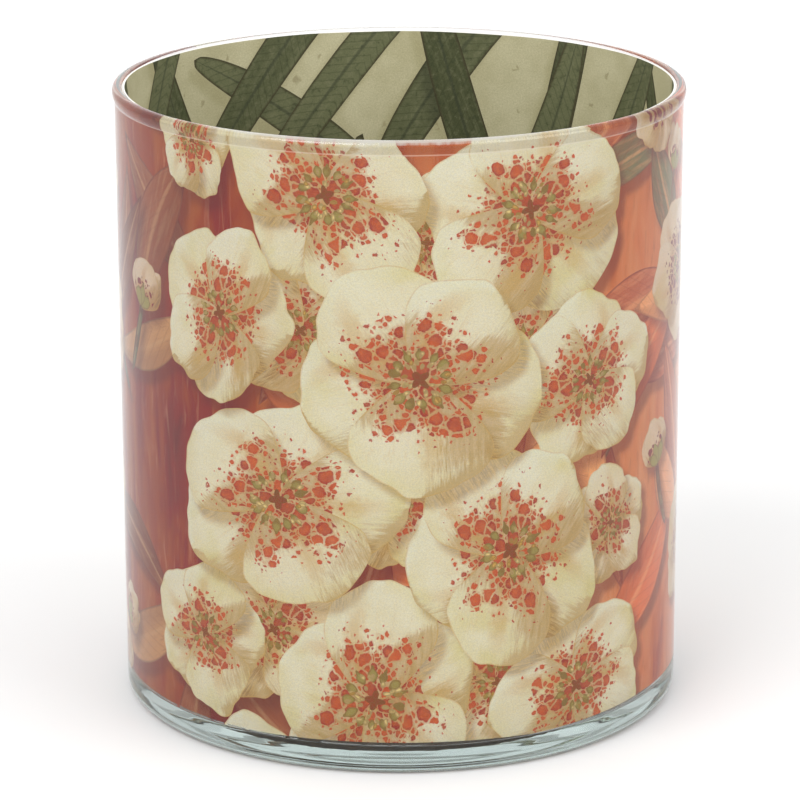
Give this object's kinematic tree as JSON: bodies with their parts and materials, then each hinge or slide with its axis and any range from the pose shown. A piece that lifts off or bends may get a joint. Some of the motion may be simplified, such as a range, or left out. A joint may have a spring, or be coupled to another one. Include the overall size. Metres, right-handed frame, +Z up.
{
  "type": "paper-lined glass desk cup",
  "caption": "Straight-sided round clear glass cup with a rolled lip and thick base, lined inside with a printed paper sleeve and discs; holds pens or brushes.",
  "frame": {"origin": "centre of the foot ring, on the surface that the cup stands on", "axes": "+Z up along the cup's axis; -Y is the side that faces the viewer, and the print sleeve's seam is at the back, towards +Y"},
  "size_m": [0.0904, 0.0904, 0.0996],
  "materials": {
    "clear_glass": "clear soda-lime glass with a faint blue-green tint, fire polished",
    "outer_print_paper": "printed paper glued behind the glass: cream blossoms with orange-red freckles on a terracotta ground",
    "inner_lining_paper": "printed paper with a matte varnish: dark green leaves on pale khaki cream",
    "base_print_paper": "pale grey-green printed paper with dark leaves, glued face down on the glass base"
  },
  "bodies": {
    "root": {"glass_tumbler": "clear_glass", "outer_print_sleeve": "outer_print_paper", "inner_lining_sleeve": "inner_lining_paper", "base_print_disc": "base_print_paper", "floor_lining_disc": "inner_lining_paper"}
  },
  "joints": []
}
